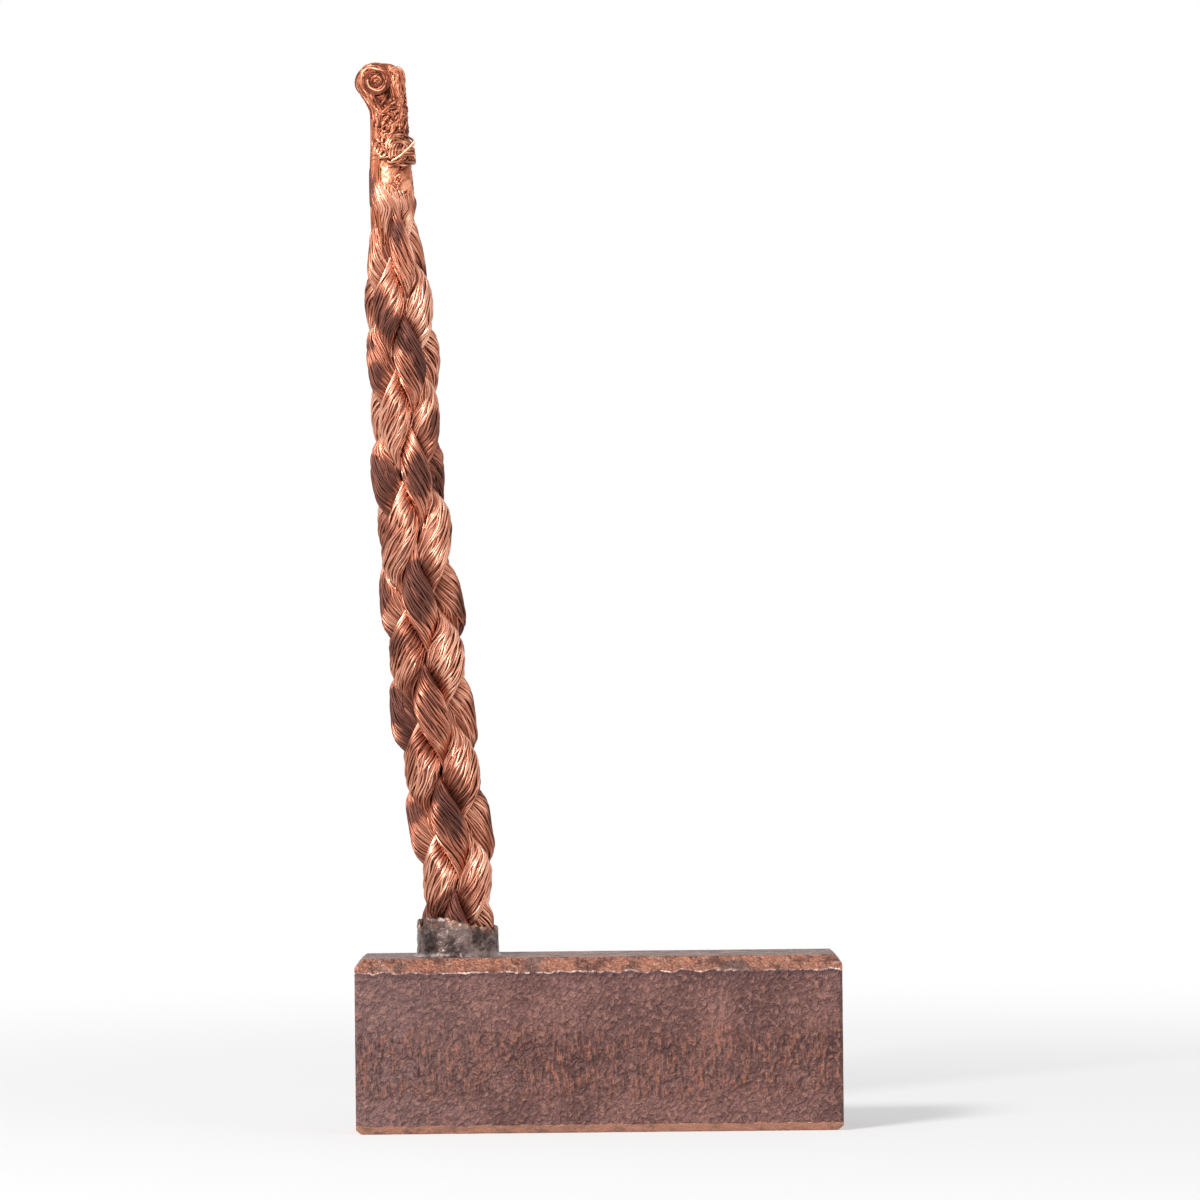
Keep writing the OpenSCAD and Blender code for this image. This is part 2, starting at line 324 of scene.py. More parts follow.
def strand_place(i, hand, z, s, depth, thickness=1.0):
    """Points of strand i of a hand at height z. s goes across the strand from -1 to 1, and
    depth goes from 1 on its outer face to -1 on its inner face. The strand spreads where it
    is on top. Returns the points and the direction away from the plait's middle."""
    middle = strand_angle(i, hand, z)
    angle = middle + HALF_COVER * s * (1 + SPREAD * rise(-0.2, 0.9, hand * checker(middle, z)))
    over = hand * sin_d(90 * sin_d(90 * checker(angle, z)))
    thick = 2 * WAVE_SHARE * PACKING * thickness * (1 - np.abs(s) ** FULLNESS)
    r = (plait_r(z) * (MID_SHARE + WAVE_SHARE * over + depth * thick / 2)
         + SLACK * slackness(i, hand, z) * np.maximum(0, over) ** 2)
    out = np.stack(np.broadcast_arrays(cos_d(angle), sin_d(angle), 0 * z), -1)
    return np.stack([middle_x(z) + r * out[..., 0], r * out[..., 1], z + 0 * r], -1), out

print("plait", 2 * plait_r(WAIST[0]), "mm thick, and", 2 * plait_r(WAIST[1]), "above its waist")

# %% [markdown]
# ## Shape of the fused end
# The wires of the free end are melted together into one lump, so that none can fray. Its
# top is rolled over towards the block's back end, and a fold is left between the roll and
# the lobe beside it. The plait's wires run up onto this lump, so its shape comes first.

# %% Skin of the fused end
TIP_W, TIP_T, FOOT_L = 2.1, 1.85, 4.5  # width and thickness, and length of the widening foot
ROLL_R, ROLL_OFF = 0.95, 0.66  # radius of the roll, and how far its eye is off middle
FOLD_OFF, FOLD_DEPTH, FOLD_W = 0.08, 0.32, 0.2
CURL = (JOIN_Z + 5, JOIN_Z + 6.1)  # where the fold deepens
DOME_L, DOME_FLAT = 0.95, 0.5
LOBE_L, LOBE_TOP, STEM_BACK = 1.25, 0.15, 0.93
UNDER_ROLL, SLOPE_FROM, SLOPE_L = 1.6, 1.42, 1.15

def closing(end, below_top, length):
    """Goes from end at the very top to 1 at length below it, like the side of a dome."""
    t = np.clip(1 - below_top / length, 0, 1)
    return between(end, 1, np.sqrt(1 - t * t))

def fused_size(z):
    """Half widths of the fused end at height z: to the face side, to the back side where it
    rolls over, and front to back. The face side closes in a dome at the top, and the back
    side follows the circle of the roll and the slope under it."""
    below_top = np.maximum(0, TIP_Z - z)
    foot = 1 - rise(JOIN_Z, JOIN_Z + FOOT_L, z)
    plain = TIP_W / 2 * (1 + (NECK_D / TIP_W - 1) * foot)
    lobe = 0.05 * rise(2.5, 0.6, below_top)
    face = (plain - 0.04) * closing(LOBE_TOP, below_top, LOBE_L) - lobe
    roll = ROLL_OFF + np.sqrt(np.maximum(0, ROLL_R ** 2 - (below_top - ROLL_R) ** 2))
    slope = between(1.5, STEM_BACK, np.clip((below_top - SLOPE_FROM) / SLOPE_L, 0, 1))
    stem = between(plain - 0.05, STEM_BACK, rise(5.5, 2.5, below_top))
    lower = np.maximum(np.where(below_top < UNDER_ROLL, roll, 0), np.maximum(slope, stem))
    back = np.where(below_top < ROLL_R, roll, lower)
    deep = between(TIP_T, NECK_D, foot) / 2 * closing(DOME_FLAT, below_top, DOME_L)
    return face, back, deep

def fold(x, z):
    """Share of its thickness that the fused end loses in the fold beside the roll."""
    return FOLD_DEPTH * rise(*CURL, z) * np.exp(-((x - FOLD_OFF) / FOLD_W) ** 2)

def fused_place(z, a, gap=0.0):
    """A point on the fused end's skin at height z and angle a in degrees, pushed out by gap:
    an oval whose two sides reach differently far, pinched along the fold."""
    face, back, deep = fused_size(z)
    x = (np.where(cos_d(a) < 0, back, face) + gap) * cos_d(a)
    y = (deep * (1 - fold(x, z)) + gap) * sin_d(a)
    return np.stack([middle_x(z) + x, y, z + 0 * a], -1)

print("half widths at the roll", np.round(fused_size(TIP_Z - ROLL_R), 2))

# %% [markdown]
# ## Copper wire
# New copper is salmon pink. Air and heat have dulled it in patches. Over that the wires carry
# painted shade on the middle of each crossing, where they face the camera and would mirror
# the dark room, and a painted highlight where a wire comes out from under its neighbour.
# The wires carry tarnish and painted shade as one number of their own.

# %% Copper of the wires
def copper(name, bright, dull, dark, roughness, patch_mm=0.9):
    """Copper that goes from bright through dull to dark as its tarnish and painted shade go from 0
    to 1.
    """
    material, place, shader = new_material(name)
    tarnish = attribute(place, "tarnish") + (noise(place, patch_mm, 4) - 0.5) * 0.6
    tint = attribute(place, "tint")
    colour = tarnish.ramp(0.0, 0.5).mix(bright, dull)
    colour = tarnish.ramp(0.4, 0.95).mix(colour, dark)
    colour = (tint * 0.3).mix(colour, dull)
    feed(shader, Base_Color=colour, Metallic=1.0, Roughness=tarnish.ramp(0.0, 1.0, roughness, 0.6))
    print("nodes in", name, len(material.node_tree.nodes))
    return material

plait_copper = copper("plaited_copper", bright=(0.97, 0.55, 0.39, 1), dull=(0.52, 0.20, 0.125, 1),
                      dark=(0.13, 0.055, 0.046, 1), roughness=0.34)

# %% [markdown]
# ## The strands
# A strand is drawn as its wires: one layer that follows its outer face, a second layer in
# the grooves between them, and a core, painted dark as shade, for all the wires that never
# show. The wires wander a little from side to side, as loose ones do, and the outer ones
# run on past the plait's end and lie down on the fused lump.

# %% The wires of one strand
FINE_D = 0.125  # diameter of a wire
TOP_WIRES, LOW_WIRES = 24, 20
WIRE_SIDES, WIRE_ROWS = 4, 230
WIRE_START = RIM_Z - 1.2
S_LIMIT = 0.985  # how near a wire may come to the strand's edge
GROOVE, BUNCH = 0.035, 0.035  # how deep wires and bunches of them dip

def wire_lines(i, hand, seed):
    """Lines of a strand's wires, and what their tarnish needs. The wires crowd towards the
    strand's edges, two ripples let each wander, and past the join they bend onto the lump."""
    random = np.random.default_rng(seed)
    top, low = np.linspace(-1, 1, TOP_WIRES), np.linspace(-0.94, 0.94, LOW_WIRES)
    t = np.concatenate([top, low])[:, None]
    low = (np.arange(len(t)) >= TOP_WIRES)[:, None]
    own = random.uniform(0, 50, size=t.shape)
    at_join = strand_angle(i, hand, JOIN_Z) + HALF_COVER * t
    overlap = 0.55 + 1.1 * (1 - cos_d(at_join)) + 0.35 * random.uniform(-1, 1, size=t.shape)
    overlap = np.where(low, 0.1, overlap)
    full_z = between(WIRE_START, JOIN_Z + overlap, np.linspace(0, 1, WIRE_ROWS)[None, :])
    z = np.minimum(full_z, JOIN_Z)

    s = 0.97 * np.sign(t) * (1 - (1 - np.abs(t)) ** 1.25)
    s = s + 0.06 * ripple(seed + 1, 2.2, z, own) + 0.08 * ripple(seed + 2, 8, z, own)
    s = np.clip(s, -S_LIMIT, S_LIMIT)
    points, out = strand_place(i, hand, z, s, 1.0)
    bunches = BUNCH * (1 + np.cos(2 * np.pi * (2.4 * s + 0.5 * ripple(seed + 6, 11, z)))) / 2
    groove = GROOVE * (1 + ripple(seed + 3, 1.9, z, own)) / 2
    sink = FINE_D / 2 + low * 0.62 * FINE_D + bunches + groove
    points = points - sink[..., None] * out

    past = full_z - JOIN_Z
    skin_a = np.degrees(np.arctan2(out[..., 1], out[..., 0]))
    drift = 18 * sin_d(skin_a) + 9 * ripple(seed + 8, 3, past, own)
    skin_a = skin_a + np.maximum(0, past) * drift
    gap = 0.01 - 0.2 * rise(0.6, 1.0, past / overlap)
    on_lump = fused_place(np.maximum(full_z, JOIN_Z), skin_a, gap)
    points = between(points, on_lump, (rise(-0.5, 0.3, past) * (1 - low))[..., None])
    points[..., 2] = full_z
    tint = np.broadcast_to(random.uniform(0, 1, size=t.shape), s.shape)
    return points, out, z, s, past, low, own, tint

# %% Tarnish and painted shade of the wires
def wire_tarnish(i, hand, seed, points, z, s, past, low, own):
    """How tarnished and shaded each point of a strand's wires is: painted shade on top of a
    crossing, on the strands of the hand that the lamp lights less and on the lower layer,
    tarnish in large smudges, and more past the join."""
    top = hand * checker(strand_angle(i, hand, z) + HALF_COVER * s, z)
    smudges_and_shade = rise(-0.05, 0.75, ripple(7, 3.4, *np.moveaxis(points, -1, 0)))
    # Painted shade: darker on the strands of the hand that the lamp lights less, and on top of
    # each crossing, where the wires face the camera.
    tarnish = (0.15 - 0.10 * hand
               + 0.24 * rise(0.1, 1.0, top) * (1 + 0.5 * ripple(seed + 4, 5, z, 2 * s)))
    # Painted shade on the crowns of that hand's crossings.
    painted_crown_shade = (hand < 0) * 0.5 * rise(0.45, 0.95, top) * rise(-1.1, 0.1, ripple(8, 6, z))
    # The smudges are random tarnish. Their weighting by hand and by the top of a crossing is
    # painted shade, and so is the darkening of the lower layer.
    smudges_and_shade = smudges_and_shade * (0.62 - 0.16 * hand) + painted_crown_shade
    tarnish = (tarnish + smudges_and_shade * (0.75 + 0.5 * rise(-0.2, 0.8, top)) + low * 0.12
               + 0.15 * ripple(seed + 5, 1.2, z, own))
    return np.clip(tarnish + 0.2 * rise(-0.5, 0.3, past), 0, 1)

# %% [markdown]
# Without a core, light would show between the wires. It has the strand's own section, a
# little smaller, and its inner side reaches past the middle of the pigtail. Its dark colour
# is painted shade.

# %% The core of one strand
CORE_SIDES, CORE_ROWS = 16, 100
# The core is painted dark, as shade.
CORE_SHADE, CORE_SHADE_TINT = 0.8, 1.0

def strand_core(i, hand):
    """Rings of the core: cosine across the strand, sine towards its outer face, and the
    half of the ring with a negative sine drawn in towards the plait's middle."""
    z = np.linspace(ROOT_Z, JOIN_Z, CORE_ROWS)[:, None]
    around = 2 * np.pi * np.arange(CORE_SIDES) / CORE_SIDES
    across, up = np.cos(around), np.sin(around)
    core, out = strand_place(i, hand, z, 0.93 * across, 0.8 * np.maximum(0, up) ** 0.6, 0.8)
    axis = np.stack(np.broadcast_arrays(middle_x(z), 0 * z, z), -1)
    inner = axis - 0.35 * plait_r(z)[..., None] * out
    drawn_in = between(core, inner, np.abs(up)[:, None] ** 0.6)
    return np.where((up < -0.01)[:, None], drawn_in, core)

# %% The eight strands
def build_strand(k):
    """Strand k of the plait, counted from 1 as in the CAD model."""
    i, hand, seed = (k - 1) % 4, 1 if k <= 4 else -1, 100 * k
    line, out, z, s, past, low, own, tint = wire_lines(i, hand, seed)
    tarnish = wire_tarnish(i, hand, seed, line, z, s, past, low, own)
    rings = tube_points(line, FINE_D / 2, out, WIRE_SIDES)
    squares, ends = tube_faces(WIRE_ROWS, WIRE_SIDES, len(line))
    core = strand_core(i, hand)
    core_squares, core_ends = tube_faces(CORE_ROWS, CORE_SIDES)
    count, core_count = rings.size // 3, core.size // 3
    made = make_object(
        f"plaited_strand_{k}", np.concatenate([rings.reshape(-1, 3), core.reshape(-1, 3)]),
        [squares, ends, core_squares + count, core_ends + count], plait_copper,
        tarnish=np.append(np.repeat(tarnish.ravel(), WIRE_SIDES), [CORE_SHADE] * core_count),
        tint=np.append(np.repeat(tint.ravel(), WIRE_SIDES), [CORE_SHADE_TINT] * core_count))
    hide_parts(f"strand_{k}")

for k in range(1, 9):
    build_strand(k)

# %% [markdown]
# ## The fused lump
# Its skin is a grid of points that is dented by grooves and pits, and it is darker where it
# is sunk. Where the metal flowed it is smooth and pale. The fold, the hollow under the
# roll and the roll's eye are darkened with painted shade.

# %% The fused lump
fused_copper = copper("fused_copper", bright=(0.93, 0.43, 0.26, 1), dull=(0.46, 0.15, 0.08, 1),
                      dark=(0.11, 0.034, 0.024, 1), roughness=0.46, patch_mm=0.4)
TIP_ROWS, TIP_SIDES, TIP_FOOT = 150, 120, 0.15
crowd = np.linspace(0, 1, TIP_ROWS)[:, None]
tip_z = JOIN_Z - TIP_FOOT + (TIP_Z - JOIN_Z + TIP_FOOT) * (1 - (1 - crowd) ** 1.5)
tip_a = 360 * np.arange(TIP_SIDES)[None, :] / TIP_SIDES
skin = fused_place(tip_z, tip_a)
sx, sy, sz = np.moveaxis(skin, -1, 0)
off, above_join, below_top = sx - middle_x(sz), sz - JOIN_Z, TIP_Z - sz

patch = (rise(0.2, 0.9, above_join + 0.3 * ripple(16, 1.1, sx, sz))
         * rise(2.7, 2.1, above_join + 0.3 * ripple(17, 0.9, sx, sz)))
warp = 0.5 * ripple(13, 1.2, sx, sy, sz)
grooves = np.abs(ripple(14, 0.3, sx + warp, sy, 0.35 * sz))
pits = np.maximum(0, ripple(12, 0.3, sx, sy, sz))
sunk = 0.02 + (0.07 * (1 - np.minimum(1, 1.6 * grooves)) + 0.06 * pits) * (1 - 0.5 * patch)
sunk = sunk + 0.22 * rise(0.5, -0.1, above_join)
inward = np.stack(np.broadcast_arrays(cos_d(tip_a), sin_d(tip_a), 0 * tip_z), -1)
skin = skin - (sunk * (1 - crowd ** 10))[..., None] * inward

# Painted shade in the fold, in the hollow under the roll and in the roll's eye.
fold_shade = fold(off, sz) / FOLD_DEPTH * rise(0.3, 0.8, below_top)
under_roll_shade = rise(0.4, 0.1, np.hypot(off + 0.45, 0.7 * (below_top - 2.1)))
eye = rise(0.34, 0.12, np.hypot(off + ROLL_OFF, below_top - ROLL_R))
# Darker where the skin is sunk, random tarnish, a little paler on the smooth patch, and the
# painted shade above.
lump_tarnish = (0.45 + 4 * (sunk - 0.05) + 0.3 * ripple(15, 1.0, sx, sy, sz) - 0.05 * patch
                + 0.7 * fold_shade + 0.5 * under_roll_shade + 0.5 * eye)
print("fused lump sunk by up to", sunk.max())

# %% [markdown]
# Wires that did not melt altogether lie over the lump. Each is drawn flat, as a line in x
# and z, and then laid on the lump's front or back. Some run up the back edge and round the
# roll into its eye, like the end of a scroll. Some arch over the lobe beside it, and the
# rest lie crumpled between the roll and the binding.

# %% Lines on the fused end
FUSED_ROWS, FUSED_SIDES = 64, 4
STEM_EDGE = 0.82

def laid(x, z, side, lift):
    """Puts flat lines on the fused end: side is -1 for its front and 1 for its back, and
    lift is how far each line's middle stands proud of the skin."""
    face, back, deep = fused_size(z)
    off = x - middle_x(z)
    reach = np.where(off < 0, back, face)
    round_off = np.sqrt(np.clip(1 - (off / reach) ** 2, 0.0, 1))
    return np.stack([x, side * (deep * (1 - fold(off, z)) * round_off + lift), z], -1)

def along_line(points, count):
    """The same line drawn with count points at equal steps."""
    step = np.linalg.norm(np.diff(points, axis=0), axis=1)
    run = np.concatenate([[0], np.cumsum(step)])
    at = np.linspace(0, run[-1], count)
    return np.stack([np.interp(at, run, points[:, k]) for k in (0, 1)], -1)

def scroll(inset, start, spin):
    """A flat line up the stem's back edge, round the roll over its top and into its eye, at
    a distance inset from the outline. spin is how far past the bottom it winds."""
    stem = middle_x(TIP_Z - ROLL_R)
    up = np.linspace(start, TIP_Z - 2.5, 12)
    edge = np.stack([middle_x(up) - STEM_EDGE + inset * 0.8, up], -1)
    a = np.linspace(205, -95 - spin, 60)
    r = (ROLL_R - inset) * (1 - 0.55 * rise(40, -200, a))
    roll = np.stack([stem - ROLL_OFF + r * cos_d(a), TIP_Z - ROLL_R + r * sin_d(a)], -1)
    return along_line(np.concatenate([edge, roll]), FUSED_ROWS)

LOBE_OFF, LOBE_R, LOBE_H, LOBE_DOWN = 0.51, 0.43, 0.5, 0.65

def arch(inset, foot_near, foot_far):
    """A flat line up the stem's face edge, over the lobe and down beside the fold."""
    stem = middle_x(TIP_Z - 0.6)
    up = np.linspace(foot_far, LOBE_DOWN, 12)
    far = np.stack([middle_x(TIP_Z - up) + LOBE_OFF + LOBE_R - inset, TIP_Z - up], -1)
    a = np.linspace(10, 172, 20)
    over = np.stack([stem + LOBE_OFF + (LOBE_R - inset) * cos_d(a),
                     TIP_Z - LOBE_DOWN + (LOBE_H - inset) * sin_d(a)], -1)
    down = np.linspace(LOBE_DOWN, foot_near, 14)
    near_x = stem + 0.12 + inset + 0.12 * (down - LOBE_DOWN) + 0.08 * sin_d(200 * down)
    near = np.stack([near_x, TIP_Z - down], -1)
    return along_line(np.concatenate([far, over, near]), FUSED_ROWS)

# %% Wires of the roll and the lobe
random = np.random.default_rng(61)
t = np.linspace(0, 1, FUSED_ROWS)
lines, widths, stains = [], [], []

def add_wire(flat, side, lift, wander, stain):
    """Lays a flat line on the lump with a little wander, and notes its width and stain."""
    own = random.uniform(0, 90) + 0 * t
    flat = flat + wander * np.stack([ripple(62, 0.2, t, own), ripple(63, 0.2, t, own)], -1)
    z = np.minimum(flat[:, 1], TIP_Z - 0.05)
    lines.append(laid(flat[:, 0], z, side, lift + 0.025 * ripple(64, 0.25, t, own)))
    widths.append(random.uniform(0.11, 0.16))
    stains.append(np.clip(stain + 0.25 * ripple(65, 0.5, t, own), 0, 1))

for side in (-1, 1):
    for inset in np.repeat(np.linspace(0.05, 0.62, 13), 2):
        flat = scroll(inset + random.uniform(-0.02, 0.02), TIP_Z - random.uniform(2.6, 3.6),
                      random.uniform(-40, 110))
        # The inner turns, round the roll's eye, are painted darker, as shade.
        stain = 0.45 + 0.35 * (inset > 0.45)
        add_wire(flat, side, random.uniform(-0.06, 0.05), 0.045, stain + random.normal(0, 0.22))
    for inset in np.linspace(0.05, 0.4, 8):
        flat = arch(inset, random.uniform(1.5, 2.6), random.uniform(2.5, 3.8))
        add_wire(flat, side, random.uniform(-0.05, 0.05), 0.045, 0.32 + random.normal(0, 0.2))
print("wires on the roll and the lobe", len(lines))

# %% Crumpled wires
def bent(x, z, heading, bend, length):
    """A flat line through x and z that points along heading and bends evenly, in degrees."""
    way = heading + bend * (t - 0.5)
    step = length / FUSED_ROWS
    return np.stack([x + np.cumsum(cos_d(way)) * step - cos_d(heading) * length / 2,
                     z + np.cumsum(sin_d(way)) * step - sin_d(heading) * length / 2], -1)

def kept_on(flat):
    """Keeps a flat line within the lump's outline."""
    face, back, _ = fused_size(flat[:, 1])
    middle = middle_x(flat[:, 1])
    off = np.clip(flat[:, 0] - middle, 0.08 - back, face - 0.06)
    return np.stack([middle + off, flat[:, 1]], -1)

def any_bent(z, offs, heading, bend, length):
    """A bent line at height z. Its place beside the middle and its length are drawn between
    two limits, and its heading and its bend about a mean."""
    return kept_on(bent(middle_x(z) + random.uniform(*offs), z, random.normal(*heading),
                        random.normal(*bend), random.uniform(*length)))

for side in (-1, 1):
    for _ in range(46):  # between the roll and the binding
        z = TIP_Z - random.uniform(1.9, 4.4)
        flat = any_bent(z, (-0.55, 0.95), (60, 22), (0, 60), (0.7, 1.7))
        add_wire(flat, side, random.uniform(-0.03, 0.07), 0.02,
                 random.choice([0.1, 0.35, 0.55, 0.9]))
    for k in range(4):  # across the stem, under the fold
        z = TIP_Z - 2.62 - 0.08 * k
        flat = kept_on(bent(middle_x(z) - 0.06, z, 0, -95, 0.75 + 0.05 * k))
        add_wire(flat, side, 0.05, 0.01, 0.45)
    for _ in range(10):  # short ones below the binding
        z = JOIN_Z + random.uniform(0.4, 2.2)
        flat = any_bent(z, (-0.2, 0.9), (55, 20), (0, 40), (0.3, 0.7))
        add_wire(flat, side, random.uniform(-0.05, -0.01), 0.02, random.choice([0.15, 0.7]))
print("wires on the lump", len(lines))

# %% [markdown]
# The straightest wires run out of the plait and up the back edge of the lump. Each lies on
# the plait at its foot and on the lump above it, and the join is passed smoothly.

# %% Wires of the back edge
EDGE_WIRES, EDGE_D = 15, 0.13
number = np.arange(EDGE_WIRES)[:, None]
edge_a = (np.linspace(172, 236, EDGE_WIRES)[:, None]
          + 2 * ripple(66, 5, t[None, :] * 8, number * 3.0))
edge_foot = JOIN_Z - 3.2 + 1.4 * np.abs(np.sin(37.0 * edge_a[:, :1]))
edge_top = TIP_Z - 2.4 - 0.02 * np.abs(edge_a[:, :1] - 190)
edge_z = between(edge_foot, edge_top, t[None, :])
above = fused_place(np.maximum(edge_z, JOIN_Z), edge_a, -0.03)
sink = 0.4 * rise(0.35, 0.0, t)[None, :] + 0.04
edge_r = plait_r(edge_z) - sink
lower = np.stack([middle_x(edge_z) + edge_r * cos_d(edge_a), edge_r * sin_d(edge_a), edge_z], -1)
edge_lines = between(lower, above, rise(JOIN_Z - 0.3, JOIN_Z + 0.5, edge_z)[..., None])
edge_lines[..., 2] = edge_z
print("wires of the back edge", len(edge_lines))

# %% The fused end as one piece
fused_lines = np.concatenate([lines, edge_lines])
fused_widths = np.concatenate([widths, np.full(EDGE_WIRES, EDGE_D)])
fused_stains = np.concatenate([stains, 0.42 + 0.18 * ripple(67, 3, edge_z, edge_a / 9)])
fused_z = fused_lines[..., 2]
out = fused_lines - np.stack([middle_x(fused_z), 0 * fused_z, fused_z], -1)
out[..., 1] += 0.4 * np.sign(out[..., 1])
off_line = np.array([0.01, 0, 0.013])  # keeps out from being along a line anywhere
rings = tube_points(fused_lines, fused_widths[:, None] / 2, out + off_line, FUSED_SIDES)
wire_squares, wire_ends = tube_faces(FUSED_ROWS, FUSED_SIDES, len(fused_lines))
lump_squares, lump_ends = tube_faces(TIP_ROWS, TIP_SIDES)
count = skin.size // 3
tarnish = np.append(lump_tarnish.ravel(), np.repeat(fused_stains.ravel(), FUSED_SIDES))
wire_tints = np.repeat(random.uniform(0, 1, len(fused_lines)), FUSED_ROWS * FUSED_SIDES)
lump = make_object(
    "fused_end", np.concatenate([skin.reshape(-1, 3), rings.reshape(-1, 3)]),
    [lump_squares, lump_ends, wire_squares + count, wire_ends + count], fused_copper,
    tarnish=np.clip(tarnish, 0, 1), tint=np.append(np.full(count, 0.3), wire_tints))
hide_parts("fused_tip")

# %% [markdown]
# ## The binding
# Four turns of one thin wire hold the fused end together. At the front it is twisted into
# a knot of loops, with arches above it, and a short bright tail stands off to one side.

# %% Turns of the binding
BINDING_Z, BINDING_RISE = JOIN_Z + 2.4, 0.224
TURNS, STEPS, BINDING_SIDES = 4, 24, 6
THIN_D = 0.13
binding_copper = copper("binding_copper", bright=(0.95, 0.48, 0.30, 1), dull=(0.50, 0.19, 0.11, 1),
                        dark=(0.16, 0.055, 0.035, 1), roughness=0.34, patch_mm=0.5)
step = np.arange(TURNS * STEPS + 1)
coil_a = 360 * step / STEPS - 90
coil_z = BINDING_Z + BINDING_RISE * step / STEPS + 0.09 * ripple(71, 40, step)
coil_gap = (0.03 + 0.03 * ripple(72, 25, step) + 0.16 * np.maximum(0, cos_d(coil_a))
            - 0.06 * np.maximum(0, -cos_d(coil_a)))
coil = fused_place(coil_z, coil_a, coil_gap)
print("turns of the binding", TURNS)

# %% Knot of the binding
KNOT_OFF, KNOT_Z = 0.5, JOIN_Z + 3.05
around = np.linspace(0, 1, len(step))
random = np.random.default_rng(73)

def loop(middle, size, span, lift, tilt=0.0):
    """Part of an oval loop laid on the front of the fused end. Its middle is counted from
    the knot, size is half its width and half its height, and span is its arc in degrees."""
    (x, z), (wide, high) = middle, size
    a = between(*span, around)
    flat_z = KNOT_Z + z + high * sin_d(a) + tilt * wide * cos_d(a)
    face, back, _ = fused_size(flat_z)
    off = np.clip(KNOT_OFF + x + wide * cos_d(a), 0.1 - back, face + 0.18)
    return laid(middle_x(flat_z) + off, flat_z, -1, lift + 0.03 * sin_d(2 * a))

knot = []
for k in range(6):  # arches over the knot
    wide = 0.36 + 0.1 * k
    knot.append(loop((random.normal(0.1, 0.07), 0.02 + random.normal(0, 0.04)),
                     (wide, wide * random.uniform(0.75, 1.1)),
                     (random.uniform(150, 215), random.uniform(-25, 45)),
                     0.06, random.normal(-0.1, 0.15)))
for k in range(6):  # slanting loops over the turns
    knot.append(loop((-0.42 + 0.16 * k, -0.1 + random.normal(0, 0.05)), (0.1, 0.24),
                     (random.uniform(0, 90), random.uniform(300, 420)),
                     0.1, random.uniform(1.2, 2.4)))
for k in range(4):  # small eyes at both sides
    knot.append(loop((0.66 + random.normal(0, 0.04), -0.02 - 0.13 * k), (0.2, 0.17),
                     (-150, 200), 0.1 + random.uniform(0, 0.08)))
    knot.append(loop((-1.22 + 0.12 * k, 0.36 - 0.19 * k), (0.16, 0.17),
                     (0, 360), 0.12 + random.uniform(0, 0.06), random.uniform(0, 1)))
for k in range(4):  # hanging hooks under it
    knot.append(loop((-0.25 + 0.17 * k, -0.46 - 0.05 * k), (random.uniform(0.25, 0.5), 0.2),
                     (random.uniform(170, 200), random.uniform(330, 380)),
                     0.08, random.normal(0, 0.3)))
print("loops in the knot", len(knot))

# %% The binding as one piece
TAIL_TARNISH = 0.12
tail_z = KNOT_Z - 0.62 + 0.98 * around - 0.10 * np.sin(np.pi * around)
tail = np.stack([middle_x(KNOT_Z) + 0.1 + 1.2 * around, -1.16 - 0.12 * around, tail_z], -1)
binding_lines = np.array([coil, *knot, tail])
line_z = binding_lines[..., 2]
out = binding_lines - np.stack([middle_x(line_z), 0.3 * binding_lines[..., 1], line_z], -1)
off_line = np.array([0.01, -0.02, 0.017])
rings = tube_points(binding_lines, THIN_D / 2, out + off_line, BINDING_SIDES)
binding_faces = tube_faces(len(step), BINDING_SIDES, len(binding_lines))
spots = 0.42 + 0.4 * ripple(75, 0.6, *np.moveaxis(rings, -1, 0))
spots[-1] = TAIL_TARNISH
binding = make_object("binding", rings.reshape(-1, 3), list(binding_faces), binding_copper,
                      tarnish=np.clip(spots, 0, 1), tint=0 * spots)
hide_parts("binding_wire")

# %% [markdown]
# ## The pressed block
# The block is a powder pressing: granular, with sharp bevels where the tool closed. A box
# of small squares is drawn first, and every point that lies past a bevel is moved back
# onto it, so the bevels can be as uneven as they really are.

# %% Box of small squares
SIZE = np.array([BLOCK_L, BLOCK_W, BLOCK_H])
COARSE, FINE, FINE_REACH = 0.16, 0.075, 1.0

def ticks(length):
    """Places from 0 to length: close together within FINE_REACH of both ends."""
    near = np.linspace(0, FINE_REACH, int(FINE_REACH / FINE) + 1)
    steps = int((length - 2 * FINE_REACH) / COARSE)
    middle = np.linspace(FINE_REACH, length - FINE_REACH, steps)
    return np.concatenate([near, middle[1:-1], length - near[::-1]])

def box_of_squares(places):
    """Points and squares of a box from its places along each axis. Each face is a grid,
    and points that two faces share are joined."""
    counts = [len(p) - 1 for p in places]
    points, squares, first = [], [], 0
    for axis in range(3):
        u, v = (axis + 1) % 3, (axis + 2) % 3
        ticks_u, ticks_v = np.arange(counts[u] + 1), np.arange(counts[v] + 1)
        grid = np.stack(np.meshgrid(ticks_u, ticks_v, indexing="ij"), -1)
        rows, columns = grid.shape[:2]
        for side in (0, 1):
            face = np.zeros((rows, columns, 3), int)
            face[..., u], face[..., v] = grid[..., 0], grid[..., 1]
            face[..., axis] = side * counts[axis]
            a = first + np.arange(rows * columns).reshape(rows, columns)
            ring = [a[:-1, :-1], a[1:, :-1], a[1:, 1:], a[:-1, 1:]]
            squares.append(np.stack(ring if side else ring[::-1], -1).reshape(-1, 4))
            points.append(face.reshape(-1, 3))
            first += rows * columns
    points, same = np.unique(np.concatenate(points), axis=0, return_inverse=True)
    points = np.stack([places[k][points[:, k]] for k in range(3)], -1)
    return points, same.ravel()[np.concatenate(squares)]

block_points, block_squares = box_of_squares([ticks(length) for length in SIZE])
block_points -= [BLOCK_L / 2, BLOCK_W / 2, 0]
print("block points", len(block_points), "squares", len(block_squares))

